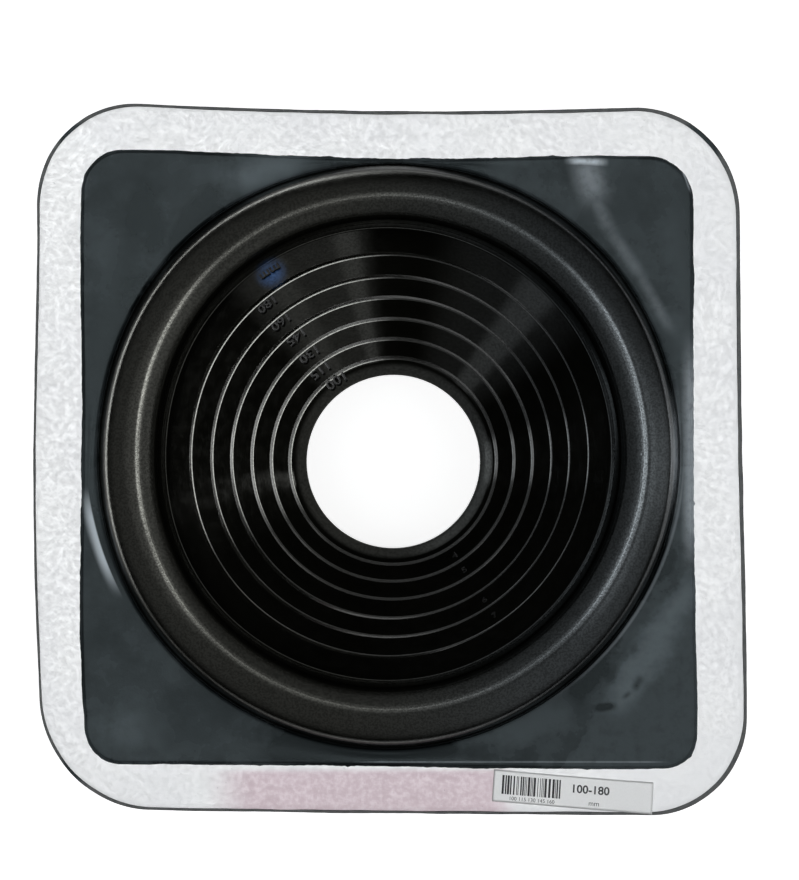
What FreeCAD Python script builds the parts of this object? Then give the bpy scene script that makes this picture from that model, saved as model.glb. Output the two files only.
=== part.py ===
"""Square-base roof flashing boot for round pipes: one-piece EPDM boot, aluminium strip, paper label.

Frame: millimetres, +Z up. The origin is on the boot's axis, level with the feet of the sealing ribs
that rest on the roof. The boot is one moulding: a square sheet, a round bellows that lets the pipe
lean or move, and a stepped cone that is cut off at the ring that suits the pipe.
"""
import FreeCAD, Part
import math
import os

Vector = FreeCAD.Vector

# Stepped cone, from its foot to its tip
ring_diameters = (173.6, 154.0, 136.0, 120.0, 104.0, 89.0, 75.0)  # upper edge of each step
riser_height = 2.6  # height of the steep step at each ring
riser_run = 0.8  # how far a riser leans in
foot_height = 5.0  # lowest riser, up from the valley
foot_run = 1.8
band_slope = 40.5  # degrees from level, of the bands between the steps
ring_edge_radius = 1.2
ring_corner_radius = 0.5
tip_hole_diameter = 62.8
tip_lip_width = 1.2  # flat rim round the tip hole
tip_edge_radius = 0.5

# Bellows round the cone's foot
wall = 2.4  # rubber, in cone and bellows
valley_width = 0.6  # level floor between the cone and the bellows
valley_depth = 6.0  # below the crest
valley_radius = 0.6
inner_slope_run = 7.6  # from the valley's edge out to the crest
crest_width = 16.7  # from the inner slope to the outer wall
crest_inner_radius = 8.0
crest_outer_radius = 14.0
crest_height = 16.6  # above the land
foot_radius = 1.5  # bellows to land
mouth_chamfer = 1.0  # under edge of the opening

# Base, from the bellows outwards
land_margin = 8.0  # level rubber between the bellows and the land's edge
land_corner_radius = 22.0
land_height = 1.0  # above the aluminium
land_edge_radius = 0.4
ledge_width = 1.0  # thin skirt of the land that seals on the aluminium
ledge_height = 0.35
strip_width = 17.0  # aluminium that shows
strip_capture = 5.0  # aluminium held under the land
strip_thickness = 0.8
lip_width = 1.5  # rubber outside the aluminium
lip_edge_radius = 0.4
base_corner_radius = 41.0
sheet_thickness = 2.4

# Sealing ribs under the base
rib_count = 3
rib_height = 1.0
rib_width = 2.0
rib_pitch = 7.0
rib_inset = 4.0  # from the base's edge to the outer rib
rib_chamfer = 0.5

# Paper label on the aluminium
label_length = 63.0
label_height = 12.8
label_thickness = 0.12
label_tilt = -4.5  # degrees about +Z
label_end_gap = 36.5  # from the base's side to the label's end

# Levels
sheet_bottom = rib_height
sheet_top = sheet_bottom + sheet_thickness
land_top = sheet_top + land_height
crest_top = land_top + crest_height
valley_floor = crest_top - valley_depth

# Radii
tip_hole_radius = tip_hole_diameter / 2
cone_foot_radius = ring_diameters[0] / 2 + foot_run
valley_outer_radius = cone_foot_radius + valley_width
crest_inner_edge = valley_outer_radius + inner_slope_run
bellows_radius = crest_inner_edge + crest_width
mouth_radius = bellows_radius - wall

# Sides of the square outlines
land_side = 2 * (bellows_radius + land_margin)
strip_outer_side = land_side + 2 * strip_width
strip_inner_side = land_side - 2 * strip_capture
base_side = strip_outer_side + 2 * lip_width

clear = 1.0  # how far a cutting solid runs past the face that it opens
touch = 1e-6  # points nearer than this are one point


def unit(start, end):
    """Direction from one (u, v) point to another, and the distance between them."""
    du = end[0] - start[0]
    dv = end[1] - start[1]
    length = math.hypot(du, dv)
    return (du / length, dv / length), length


def turn_angle(before, corner, after):
    """How far a path turns at a corner, in radians, positive to the left."""
    (au, av), _ = unit(before, corner)
    (bu, bv), _ = unit(corner, after)
    return math.atan2(au * bv - av * bu, au * bu + av * bv)


def tangent_lengths(corners):
    """Length that each fillet of a closed loop takes from its sides, less where a side is short."""
    count = len(corners)
    wanted = []
    for i, corner in enumerate(corners):
        turn = turn_angle(corners[i - 1], corner, corners[(i + 1) % count])
        wanted.append(corner[2] * math.tan(abs(turn) / 2))
    share = [1.0] * count
    for i in range(count):
        j = (i + 1) % count
        side = unit(corners[i], corners[j])[1]
        if wanted[i] + wanted[j] > side:
            fit = side / (wanted[i] + wanted[j])
            share[i] = min(share[i], fit)
            share[j] = min(share[j], fit)
    return [length * part for length, part in zip(wanted, share)]


def rounded_face(corners, place):
    """Face of a closed loop of (u, v, fillet radius) corners; place(u, v) gives the 3D point."""
    count = len(corners)
    lengths = tangent_lengths(corners)
    edges = []
    ends = []
    for i, corner in enumerate(corners):
        (au, av), _ = unit(corner, corners[i - 1])
        (bu, bv), _ = unit(corner, corners[(i + 1) % count])
        start = (corner[0] + au * lengths[i], corner[1] + av * lengths[i])
        end = (corner[0] + bu * lengths[i], corner[1] + bv * lengths[i])
        ends.append((start, end))
        if lengths[i] > 0:
            half = abs(turn_angle(corners[i - 1], corner, corners[(i + 1) % count])) / 2
            radius = lengths[i] / math.tan(half)
            inward, _ = unit((0, 0), (au + bu, av + bv))
            reach = radius / math.cos(half) - radius
            middle = (corner[0] + inward[0] * reach, corner[1] + inward[1] * reach)
            edges.append(Part.Arc(place(*start), place(*middle), place(*end)).toShape())
    for i in range(count):
        start = place(*ends[i][1])
        end = place(*ends[(i + 1) % count][0])
        if start.distanceToPoint(end) > touch:
            edges.append(Part.makeLine(start, end))
    return Part.Face(Part.Wire(Part.__sortEdges__(edges)))


def turned(corners):
    """Solid of revolution about Z from (radius, height, fillet) corners."""
    face = rounded_face(corners, lambda r, z: Vector(r, 0, z))
    return face.revolve(Vector(0, 0, 0), Vector(0, 0, 1), 360)


def square_plate(side, corner_radius, bottom, thickness):
    """Flat plate with a rounded square outline, centred on the axis."""
    half = side / 2
    signs = ((1, 1), (-1, 1), (-1, -1), (1, -1))
    corners = [(half * x, half * y, corner_radius) for x, y in signs]
    face = rounded_face(corners, lambda x, y: Vector(x, y, bottom))
    return face.extrude(Vector(0, 0, thickness))


def edges_at(solid, level, side):
    """Edges of a plate's outline of the given side length that lie at one level."""
    found = []
    for edge in solid.Edges:
        box = edge.BoundBox
        level_edge = abs(box.ZMin - level) < touch and abs(box.ZMax - level) < touch
        reach = max(abs(box.XMin), abs(box.XMax), abs(box.YMin), abs(box.YMax))
        if level_edge and abs(reach - side / 2) < touch:
            found.append(edge)
    return found


def inset_corners(corners, distance):
    """Open path of (u, v, fillet) corners moved to its left, with fillets kept concentric.

    The two end points only give the directions of the end sides and aren't returned.
    """
    moved = []
    for i in range(1, len(corners) - 1):
        (au, av), _ = unit(corners[i - 1], corners[i])
        turn = turn_angle(corners[i - 1], corners[i], corners[i + 1])
        slide = -distance * math.tan(turn / 2)
        u = corners[i][0] - av * distance + au * slide
        v = corners[i][1] + au * distance + av * slide
        moved.append((u, v, corners[i][2] - math.copysign(distance, turn)))
    return moved


def cone_steps():
    """Corners of the stepped cone, from the valley up to its topmost ring."""
    slope = math.tan(math.radians(band_slope))
    level = valley_floor + foot_height
    corners = [
        (cone_foot_radius, valley_floor, ring_corner_radius),
        (ring_diameters[0] / 2, level, ring_edge_radius),
    ]
    for diameter in ring_diameters[1:]:
        radius = diameter / 2
        level += slope * (corners[-1][0] - radius - riser_run)
        corners.append((radius + riser_run, level, ring_corner_radius))
        level += riser_height
        corners.append((radius, level, ring_edge_radius))
    return corners


steps = cone_steps()
tip_lip_radius = tip_hole_radius + tip_lip_width
tip_top = steps[-1][1] + math.tan(math.radians(band_slope)) * (steps[-1][0] - tip_lip_radius)

# The core's cone runs parallel to the line from the foot of the first step to the foot of the last
core_slope = (steps[-2][1] - valley_floor) / (cone_foot_radius - steps[-2][0])
cone_apex = valley_floor + cone_foot_radius * core_slope


def boot_outside():
    """Bellows and stepped cone, solid to the axis."""
    root = bellows_radius + foot_radius + clear
    return turned([
        (0, sheet_bottom, 0),
        (root, sheet_bottom, 0),
        (root, land_top, 0),
        (bellows_radius, land_top, foot_radius),
        (bellows_radius, crest_top, crest_outer_radius),
        (crest_inner_edge, crest_top, crest_inner_radius),
        (valley_outer_radius, valley_floor, valley_radius),
        *steps,
        (tip_lip_radius, tip_top, tip_edge_radius),
        (0, tip_top, 0),
    ])


def boot_core():
    """Space inside the boot: one wall inside the bellows and the cone, and out through the tip."""
    inside = inset_corners([
        (bellows_radius, sheet_bottom, 0),
        (bellows_radius, crest_top, crest_outer_radius),
        (crest_inner_edge, crest_top, crest_inner_radius),
        (valley_outer_radius, valley_floor, valley_radius),
        (cone_foot_radius, valley_floor, ring_corner_radius),
        (0, cone_apex, 0),
    ], wall)
    foot_r, foot_z, _ = inside[-1]
    bore_bottom = foot_z + core_slope * (foot_r - tip_hole_radius)
    chamfer_top = sheet_bottom + mouth_chamfer
    below = sheet_bottom - clear
    return turned([
        (0, below, 0),
        (mouth_radius + chamfer_top - below, below, 0),
        (mouth_radius, chamfer_top, 0),
        *inside,
        (tip_hole_radius, bore_bottom, 0),
        (tip_hole_radius, tip_top + clear, 0),
        (0, tip_top + clear, 0),
    ])


def sealing_ribs():
    """Concentric square ribs under the sheet, chamfered where they meet the roof."""
    ribs = []
    for i in range(rib_count):
        inset = rib_inset + i * rib_pitch
        side = base_side - 2 * inset
        inner_side = side - 2 * rib_width
        outer = square_plate(side, base_corner_radius - inset, 0, rib_height)
        inner = square_plate(inner_side, base_corner_radius - inset - rib_width, 0, rib_height)
        rib = outer.cut(inner)
        feet = edges_at(rib, 0, side) + edges_at(rib, 0, inner_side)
        ribs.append(rib.makeChamfer(rib_chamfer, feet))
    return ribs


def aluminium_flange():
    """Soft aluminium strip let into the base, with its inner edge held under the land."""
    bottom = sheet_top - strip_thickness
    outer = square_plate(strip_outer_side, base_corner_radius - lip_width, bottom, strip_thickness)
    inner = square_plate(
        strip_inner_side, land_corner_radius - strip_capture, bottom, strip_thickness
    )
    return outer.cut(inner)


def rubber_boot(strip):
    """The moulding: sheet, land, bellows and cone, with the aluminium's pocket and the ribs."""
    sheet = square_plate(base_side, base_corner_radius, sheet_bottom, sheet_thickness)
    sheet = sheet.makeFillet(lip_edge_radius, edges_at(sheet, sheet_top, base_side))
    ledge = square_plate(land_side, land_corner_radius, sheet_top, ledge_height)
    raised_side = land_side - 2 * ledge_width
    land = square_plate(raised_side, land_corner_radius - ledge_width, sheet_top, land_height)
    land = land.makeFillet(land_edge_radius, edges_at(land, land_top, raised_side))
    boot = sheet.fuse([ledge, land, boot_outside()])
    boot = boot.cut([boot_core(), strip])
    boot = boot.fuse(sealing_ribs())
    return boot.removeSplitter()


def paper_label():
    """Label stuck slightly askew on the strip, near one corner."""
    label = Part.makeBox(
        label_length, label_height, label_thickness,
        Vector(-label_length / 2, -label_height / 2, 0),
    )
    label.rotate(Vector(0, 0, 0), Vector(0, 0, 1), label_tilt)
    across = (base_side - label_end_gap * 2 - label_length) / 2
    label.translate(Vector(across, -(land_side + base_side) / 4, sheet_top))
    return label


def main():
    os.makedirs("parts", exist_ok=True)
    strip = aluminium_flange()
    pieces = {
        "rubber_boot": rubber_boot(strip),
        "aluminium_flange": strip,
        "paper_label": paper_label(),
    }
    for name, shape in pieces.items():
        shape.exportStep(f"parts/{name}.step")
        print(name, len(shape.Solids), "solid, valid", shape.isValid(), "mm3", round(shape.Volume, 1))
    print("base side", base_side, "height", round(tip_top, 3))


main()
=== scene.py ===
"""Looks of a square-base rubber pipe flashing boot, built round its CAD frame.

Sizes in this script are millimetres, in the frame of the CAD part: +Z up, the boot's axis at x = y = 0,
the sealing ribs' feet at z = 0. Meshes are scaled to metres as they are made.
"""
import math
import random

import bpy
import numpy as np
from mathutils import Matrix, Vector, noise

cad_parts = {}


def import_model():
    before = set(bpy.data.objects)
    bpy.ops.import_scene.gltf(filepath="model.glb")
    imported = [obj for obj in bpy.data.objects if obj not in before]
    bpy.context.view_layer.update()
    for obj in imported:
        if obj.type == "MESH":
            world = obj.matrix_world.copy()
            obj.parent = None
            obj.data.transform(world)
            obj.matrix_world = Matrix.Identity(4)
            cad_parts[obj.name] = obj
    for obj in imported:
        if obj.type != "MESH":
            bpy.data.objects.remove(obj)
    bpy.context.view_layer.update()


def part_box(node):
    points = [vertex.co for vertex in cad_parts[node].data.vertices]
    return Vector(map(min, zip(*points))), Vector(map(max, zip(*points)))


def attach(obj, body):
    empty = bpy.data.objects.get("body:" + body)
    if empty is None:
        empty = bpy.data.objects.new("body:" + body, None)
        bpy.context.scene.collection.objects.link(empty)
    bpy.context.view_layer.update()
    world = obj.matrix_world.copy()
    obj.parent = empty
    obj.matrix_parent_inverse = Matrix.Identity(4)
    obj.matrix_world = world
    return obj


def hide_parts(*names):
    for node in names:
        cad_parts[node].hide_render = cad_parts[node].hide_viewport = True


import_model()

MM = 0.001

# ---------------------------------------------------------------- sizes

_, boot_high = (np.array(corner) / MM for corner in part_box("rubber_boot"))
strip_low, strip_high = (np.array(corner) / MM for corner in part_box("aluminium_flange"))
label_low, label_high = (np.array(corner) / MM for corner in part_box("paper_label"))

BASE_HALF = boot_high[0]
TIP_TOP = boot_high[2]
POCKET_FLOOR = strip_low[2]
STRIP_TOP = strip_high[2]
SHEET_BOTTOM = 1.0
LIP_TOP = STRIP_TOP + 0.12
LAND_TOP = STRIP_TOP + 1.0
LEDGE_TOP = STRIP_TOP + 0.35
LAND_HALF = 121.5
LEDGE_WIDTH = 1.0
CAPTURE = 5.0

RING_RADII = (87.5, 76.7, 68.0, 60.0, 52.0, 44.5, 37.5)
RISER = 2.8
RISER_RUN = 0.8
FOOT_RUN = 1.8
FOOT_HEIGHT = 5.0
RING_EDGE = 0.3
RING_CROWN = 0.15
OUTER_CROWN = 0.35
RING_FLARE = 0.36
FOOT_FILLET = 0.1
RISER_FILLET = 0.08
CROWN_FILLET = 0.04
TIP_HOLE = 31.4
TIP_ROUND = 6.5
TIP_LIP = TIP_HOLE + 2.5
WALL = 2.4
RIB_INSETS = (18.0, 11.0, 4.0)

BELLOWS = 115.6
MOUTH = 111.1
CREST_TOP = LAND_TOP + 16.6
CREST = 99.6
NOTCH = 89.32
VALLEY_FLOOR = CREST_TOP - 6.0
FOOT = 1.5
# Crest of the bellows: distance from its top in mm and tilt there in degrees, outwards and inwards
CREST_OUT = (
    (0.0, 0.0), (0.8, 6.0), (2.0, 13.0), (5.7, 19.0), (8.7, 25.0), (10.2, 31.0),
    (10.9, 39.0), (12.0, 51.0), (12.7, 63.0), (13.1, 72.0), (16.0, 75.5),
)
CREST_IN = (
    (0.0, 0.0), (0.8, 8.0), (1.8, 15.0), (4.8, 21.0), (6.5, 28.0), (7.5, 42.0), (8.3, 58.0), (9.1, 68.0),
)

# Corner radii of the base and of the land, from the +X+Y corner counter-clockwise
BASE_CORNERS = (42.5, 41.5, 43.5, 37.5)
LAND_CORNERS = (18.0, 17.0, 15.0, 13.0)

ANGLE_COUNT = 640
ANGLES = np.linspace(0, 2 * math.pi, ANGLE_COUNT, endpoint=False)
COS = np.cos(ANGLES)
SIN = np.sin(ANGLES)

# The soft base isn't quite square: shift of each side along +X or +Y at five places, from its low end
SHIFT_PLACES = (-0.85, -0.45, 0.0, 0.45, 0.85)
LAND_SET = {
    "right": (0.5, -0.4, -1.3, -1.4, -1.8),
    "left": (-0.6, 1.0, 0.2, 0.2, -0.3),
    "top": (-2.1, -3.5, -5.2, -4.5, -4.2),
    "bottom": (1.4, 2.0, 2.8, 3.8, 3.9),
}
BASE_SET = {
    "right": (1.6, 1.4, -0.2, -1.2, -2.2),
    "left": (-2.2, 0.0, 0.8, -0.7, -1.0),
    "top": (-1.9, -3.8, -5.0, -4.4, -3.1),
    "bottom": (0.4, 2.1, 3.0, 3.7, 3.9),
}
# Outward set of the soft bellows, every 30 degrees from +X counter-clockwise, in mm
OVAL_SET = (-1.5, -1.0, -0.2, 0.8, 1.2, 0.8, -0.1, 1.4, 1.2, 0.6, -0.6, -1.4)
# Further set of the bellows' outer wall alone, in the same places; it grows in over a stretch past the crest
WALL_SET = (0.3, 0.6, 0.0, -2.0, -1.2, -0.5, -0.3, -0.3, 0.0, 0.8, 0.9, 0.7)
WALL_SET_FROM = 3.0
WALL_SET_OVER = 8.0
# Set of the crest's top beside that: distance in mm and azimuth in degrees
CREST_SET = (1.4, 25.0)
CREST_SET_REACH = 7.0
# Share of the bellows' set that the cone takes at its foot, its rings and its tip
OVAL_SHARES = (1.0, 0.9, 0.5, 0.25, 0.0, 0.0, 0.0, 0.0)
# How far the aluminium's outer edge keeps from the rubber's, by side
LIP_SET = {"right": 1.6, "left": 0.9, "top": 1.25, "bottom": 1.1}
# Lift of the base's corners, from the +X+Y corner counter-clockwise
CORNER_LIFTS = (1.0, 3.0, 1.0, 0.6)
# Where the lift begins, as a share of the base's half side, and how fast it grows from there
LIFT_FROM = 0.75
LIFT_GROWTH = 3.0
# Lean of the cone's tip
LEAN = (0.4, -0.9)


# ---------------------------------------------------------------- outlines and rows

def circle(radius):
    """Polar outline of a circle."""
    return np.full(ANGLE_COUNT, float(radius))


def by_quadrant(values):
    """One value per angle, from the four corners' values."""
    quadrant = (ANGLES // (math.pi / 2)).astype(int) % 4
    return np.array(values, float)[quadrant]


def rounded_square(half, corners):
    """Polar outline of a rounded square whose four corner radii may differ."""
    c = np.clip(by_quadrant(corners), 0.01, None)
    a = np.abs((ANGLES + math.pi / 4) % (math.pi / 2) - math.pi / 4)
    flat = half / np.cos(a)
    k = half - c
    along = k * (np.cos(a) + np.sin(a))
    inside = np.clip(along ** 2 - 2 * k ** 2 + c ** 2, 0, None)
    rounded = along + np.sqrt(inside)
    return np.where(flat * np.sin(a) <= k, flat, rounded)


def side_value(table, u, v):
    """Smooth curve through a side's values, as x and y shifts of outline points (u, v)."""
    def along(values, t):
        curve = np.polyfit(SHIFT_PLACES, values, len(SHIFT_PLACES) - 1)
        return np.polyval(curve, np.clip(t, SHIFT_PLACES[0], SHIFT_PLACES[-1]))

    dx = along(table["right"], v) * np.clip(u, 0, None) - along(table["left"], v) * np.clip(-u, 0, None)
    dy = along(table["top"], u) * np.clip(v, 0, None) - along(table["bottom"], u) * np.clip(-v, 0, None)
    return dx, dy


def ring_noise(seed, scale, amount):
    """Smooth noise round the part, one value per angle, at about scale mm."""
    values = []
    for x, y in zip(COS * BASE_HALF / scale, SIN * BASE_HALF / scale):
        values.append(noise.noise(Vector((x, y, seed))))
    return np.array(values) * amount


def round_curve(values):
    """Smooth closed curve through values spread evenly round the part, one value per angle."""
    waves = np.fft.rfft(values) / len(values)
    waves[1:-1] *= 2
    total = np.zeros(ANGLE_COUNT)
    for turns, wave in enumerate(waves):
        total += wave.real * np.cos(turns * ANGLES) - wave.imag * np.sin(turns * ANGLES)
    return total


OVAL = round_curve(OVAL_SET)
WALL_SHIFT = round_curve(WALL_SET)


def oval_share(radius):
    """How much of the bellows' set a radius of the cone takes."""
    return OVAL_SHARES[sum(radius < ring + RISER_RUN / 2 for ring in RING_RADII)]


# Bits of flash left on the land's edge: azimuth in degrees, width and height in mm
FLASH_NUBS = (
    (-44.6, 1.1, 0.7), (-57.5, 1.2, 0.5), (62.0, 1.6, 0.5), (71.0, 1.0, 0.6), (101.0, 2.5, 0.4),
    (137.0, 1.5, 0.6), (-9.0, 1.2, 0.6), (201.0, 1.5, 0.4), (247.0, 2.0, 0.4), (262.0, 1.2, 0.5),
)
# About the mean distance of the land's edge from the axis
EDGE_RADIUS = LAND_HALF * 1.15


def nubs(bits):
    """Small outward bits round the part, one value per angle."""
    total = np.zeros(ANGLE_COUNT)
    for azimuth, width, height in bits:
        away = (ANGLES - math.radians(azimuth) + math.pi) % (2 * math.pi) - math.pi
        total += height * np.exp(-(away * EDGE_RADIUS / (width / 2)) ** 2)
    return total


def lip_width():
    """Width of the rubber left outside the aluminium, one value per angle."""
    shift = side_value({side: (width,) * len(SHIFT_PLACES) for side, width in LIP_SET.items()}, *BASE_UV)
    return np.clip(np.abs(shift[0] * COS + shift[1] * SIN) + ring_noise(2.2, 12.0, 0.25), 0.5, None)


class Rows:
    """Closed section of a part, as rows of points round the axis, and the soft set of the base."""

    def __init__(self):
        self.radii = []
        self.levels = []
        self.holds = []  # 0: stays with the boot, 1: follows the base
        self.outs = []  # 0: follows the land's edge, 1: follows the base's edge

    def add(self, radii, level, hold=0.0, out=0.0):
        """Next row of the section; radii and level are numbers, or one value per angle."""
        self.radii.append(np.broadcast_to(np.asarray(radii, float), (ANGLE_COUNT,)))
        self.levels.append(np.broadcast_to(np.asarray(level, float), (ANGLE_COUNT,)))
        self.holds.append(hold)
        self.outs.append(out)

    def points(self):
        """All rows' points, with the soft set in them."""
        radii = np.array(self.radii)
        x = radii * COS
        y = radii * SIN
        z = np.array(self.levels)
        hold = np.array(self.holds)[:, None]
        out = np.array(self.outs)[:, None]
        return settle(x, y, z, hold, out)


def outline_uv(half, corners):
    """Outline points of a rounded square, as shares of its half side."""
    radii = rounded_square(half, corners)
    return radii * COS / half, radii * SIN / half


LAND_UV = outline_uv(LAND_HALF, LAND_CORNERS)
BASE_UV = outline_uv(BASE_HALF, BASE_CORNERS)
LAND_SHIFT = side_value(LAND_SET, *LAND_UV)
BASE_SHIFT = side_value(BASE_SET, *BASE_UV)
LIFT = by_quadrant(CORNER_LIFTS) * (BASE_UV[0] * BASE_UV[1]) ** 2


def lift_share(x, y):
    """How much of its corner's lift a point of the base takes."""
    return np.clip(np.hypot(x, y) / BASE_HALF - LIFT_FROM, 0, None) * LIFT_GROWTH


def settle(x, y, z, hold, out):
    """Moves rows of points as the soft part has set: base out of square, corners lifted, cone leaning."""
    dx = LAND_SHIFT[0] * (1 - out) + BASE_SHIFT[0] * out
    dy = LAND_SHIFT[1] * (1 - out) + BASE_SHIFT[1] * out
    lift = LIFT * lift_share(x, y)
    tall = np.clip((z - VALLEY_FLOOR) / (TIP_TOP - VALLEY_FLOOR), 0, None)
    moved_x = x + dx * hold + LEAN[0] * tall
    moved_y = y + dy * hold + LEAN[1] * tall
    return np.stack([moved_x, moved_y, z + lift * hold], axis=-1)


def filleted(corners, degrees=22.0):
    """Points of an open (radius, height, fillet) path, with its fillets as arcs."""
    points = [corners[0][:2]]
    for i in range(1, len(corners) - 1):
        here = np.array(corners[i][:2])
        back = np.array(corners[i - 1][:2]) - here
        ahead = np.array(corners[i + 1][:2]) - here
        back = back / np.linalg.norm(back)
        ahead = ahead / np.linalg.norm(ahead)
        opening = math.acos(np.clip(np.dot(back, ahead), -1, 1))
        radius = corners[i][2]
        if radius <= 0:
            points.append(tuple(here))
            continue
        length = radius / math.tan(opening / 2)
        middle = back + ahead
        centre = here + middle / np.linalg.norm(middle) * radius / math.sin(opening / 2)
        start = here + back * length - centre
        end = here + ahead * length - centre
        sweep = math.pi - opening
        count = max(2, math.ceil(math.degrees(sweep) / degrees))
        turn = math.copysign(1, start[0] * end[1] - start[1] * end[0])
        for k in range(count + 1):
            angle = turn * sweep * k / count
            c, s = math.cos(angle), math.sin(angle)
            points.append((centre[0] + start[0] * c - start[1] * s, centre[1] + start[0] * s + start[1] * c))
    points.append(corners[-1][:2])
    return points


# ---------------------------------------------------------------- meshes

def mesh_object(name, vertices, faces, material, smooth=True):
    """Mesh piece from millimetre points, part of the one body."""
    mesh = bpy.data.meshes.new(name)
    mesh.from_pydata((np.asarray(vertices, float).reshape(-1, 3) * MM).tolist(), [], faces)
    mesh.validate()
    mesh.update()
    for polygon in mesh.polygons:
        polygon.use_smooth = smooth
    piece = bpy.data.objects.new(name, mesh)
    bpy.context.scene.collection.objects.link(piece)
    mesh.materials.append(material)
    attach(piece, "root")
    return piece


def loft_faces(row_count, column_count):
    """Quads between neighbouring rows of points, closed round the axis and along the section."""
    faces = []
    for i in range(row_count):
        a = i * column_count
        b = ((i + 1) % row_count) * column_count
        for j in range(column_count):
            k = (j + 1) % column_count
            faces.append((a + j, a + k, b + k, b + j))
    return faces


def weight_normals(piece):
    """Shades each fillet into the flat beside it, as a moulded edge does."""
    modifier = piece.modifiers.new("weighted_normals", "WEIGHTED_NORMAL")
    modifier.mode = "FACE_AREA"
    modifier.weight = 80
    modifier.keep_sharp = False


def band_slope():
    """Slope of the bands that brings the stepped cone from the valley to its tip."""
    outer = np.array(RING_RADII)
    inner = np.array([*(outer[1:] + RISER_RUN), TIP_LIP])
    risers = FOOT_HEIGHT + RISER * (len(RING_RADII) - 1)
    return (TIP_TOP - VALLEY_FLOOR - risers) / (outer - inner).sum()


def ring_corners(radius, level, crown=RING_CROWN):
    """Edge of a ring: a narrow level crown, then a slightly steeper flare back onto the band."""
    behind = crown + RING_FLARE
    return [
        (radius, level, RING_EDGE),
        (radius - crown, level, CROWN_FILLET),
        (radius - behind, level + BAND_SLOPE * behind, CROWN_FILLET),
    ]


def step_corners():
    """Stepped cone's section from the valley up to its topmost ring."""
    level = VALLEY_FLOOR + FOOT_HEIGHT
    corners = [(CONE_FOOT, VALLEY_FLOOR, FOOT_FILLET), *ring_corners(RING_RADII[0], level, OUTER_CROWN)]
    for last, radius in zip(RING_RADII, RING_RADII[1:]):
        level += BAND_SLOPE * (last - radius - RISER_RUN)
        corners.append((radius + RISER_RUN, level, RISER_FILLET))
        level += RISER
        corners += ring_corners(radius, level)
    return corners


CONE_FOOT = RING_RADII[0] + FOOT_RUN
BAND_SLOPE = band_slope()
STEPS = step_corners()
# Points of a step: its riser's foot and the three corners of its ring
STEP_POINTS = 4
LAST_STEP = STEPS[-STEP_POINTS]
CORE_SLOPE = (LAST_STEP[1] - VALLEY_FLOOR) / (CONE_FOOT - LAST_STEP[0])


def crest_side(turns, way):
    """Points down one side of the crest from its top, way +1 outwards or -1 inwards."""
    reach = [turn[0] for turn in turns]
    away = np.unique(np.concatenate([reach, np.arange(0.0, reach[-1], 0.6)]))
    slopes = np.tan(np.radians(np.interp(away, reach, [turn[1] for turn in turns])))
    drops = np.concatenate([[0.0], np.cumsum(np.diff(away) * (slopes[1:] + slopes[:-1]) / 2)])
    return [(CREST + way * out, CREST_TOP - drop) for out, drop in zip(away, drops)]


def add_lip_and_pocket(rows, base):
    """Outer lip of the sheet and the pocket that holds the aluminium."""
    inner_lip = base - lip_width()
    under_land = rounded_square(LAND_HALF - CAPTURE, [c - CAPTURE for c in LAND_CORNERS])
    rows.add(base, SHEET_BOTTOM + 0.5, 1, 1)
    rows.add(base, LIP_TOP - 0.45, 1, 1)
    rows.add(base - 0.14, LIP_TOP - 0.12, 1, 1)
    rows.add(base - 0.45, LIP_TOP, 1, 1)
    rows.add(inner_lip + 0.12, LIP_TOP, 1, 1)
    rows.add(inner_lip, LIP_TOP - 0.15, 1, 1)
    rows.add(inner_lip, POCKET_FLOOR - 0.05, 1, 1)
    rows.add(under_land, POCKET_FLOOR - 0.05, 1, 0)
    rows.add(under_land, STRIP_TOP + 0.02, 1, 0)


def add_land(rows, raised):
    """Thin skirt that seals on the aluminium, the land's raised edge and the land up to the bellows."""
    flash = ring_noise(5.3, 1.6, 0.22) + ring_noise(1.7, 11.0, 0.40) + nubs(FLASH_NUBS)
    ledge = rounded_square(LAND_HALF, LAND_CORNERS) + flash
    rows.add(ledge - 0.1, STRIP_TOP + 0.02, 1, 0)
    rows.add(ledge, STRIP_TOP + 0.15, 1, 0)
    rows.add(ledge - 0.25, LEDGE_TOP, 1, 0)
    rows.add(raised + 0.25, LEDGE_TOP, 1, 0)
    rows.add(raised, LEDGE_TOP + 0.15, 1, 0)
    rows.add(raised - 0.03, LAND_TOP - 0.3, 1, 0)
    rows.add(raised - 0.15, LAND_TOP - 0.08, 1, 0)
    rows.add(raised - 0.45, LAND_TOP + 0.02, 1, 0)
    outer = raised - 1.1
    rows.add(outer, LAND_TOP, 1, 0)
    inner = circle(BELLOWS + FOOT) + OVAL + WALL_SHIFT
    for share in (0.08, 0.18, 0.3, 0.45, 0.6, 0.75, 0.88):
        wave = ring_noise(20.0 + share, 30.0, 0.30) * math.sin(math.pi * share)
        rows.add(outer + (inner - outer) * share, LAND_TOP + wave, 1 - share, 0)


def add_bellows(rows):
    """Foot, outer wall and crest of the bellows, down to the valley, all a little uneven."""
    foot = filleted([
        (BELLOWS + FOOT + 0.4, LAND_TOP, 0),
        (BELLOWS, LAND_TOP, FOOT),
        (BELLOWS, LAND_TOP + 3.0, 0),
    ], 18.0)
    crest = crest_side(CREST_OUT, 1)[::-1] + crest_side(CREST_IN, -1)[1:]
    wobble = ring_noise(31.0, 60.0, 0.5)
    for radius, level in foot[1:] + crest:
        share = np.clip((level - LAND_TOP) / (CREST_TOP - LAND_TOP), 0, 1)
        crown = math.exp(-((radius - CREST) / CREST_SET_REACH) ** 2) * CREST_SET[0]
        lean = crown * np.cos(ANGLES - math.radians(CREST_SET[1]))
        wall = WALL_SHIFT * min(max((radius - CREST - WALL_SET_FROM) / WALL_SET_OVER, 0.0), 1.0)
        rows.add(circle(radius) + OVAL + wall + lean + wobble * share * 0.6, level + wobble * share)


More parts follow.
